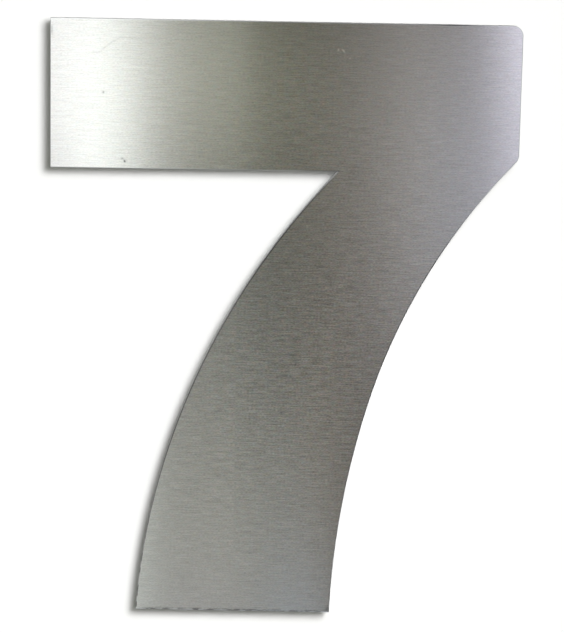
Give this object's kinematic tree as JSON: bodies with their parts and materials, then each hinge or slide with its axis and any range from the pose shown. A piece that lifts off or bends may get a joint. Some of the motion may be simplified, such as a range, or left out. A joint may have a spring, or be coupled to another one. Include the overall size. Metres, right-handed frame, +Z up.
{
  "type": "house number",
  "caption": "Numeral 7 cut from thick brushed stainless sheet, held off the wall by threaded studs and spacer sleeves on its back.",
  "frame": {"origin": "on the wall's surface, on the axis of the stud behind the foot", "axes": "+X to the reader's right, +Y into the wall, +Z up; the face looks along -Y"},
  "size_m": [0.1547, 0.038, 0.2],
  "materials": {
    "brushed_sheet": "brushed along the bar, edges laser cut",
    "stud_steel": "rolled thread, bright",
    "sleeve_steel": "turned"
  },
  "bodies": {
    "root": {"numeral_plate": "brushed_sheet", "stud_bar_left": "stud_steel", "stud_bar_right": "stud_steel", "stud_foot": "stud_steel", "spacer_bar_left": "sleeve_steel", "spacer_bar_right": "sleeve_steel", "spacer_foot": "sleeve_steel"}
  },
  "joints": []
}
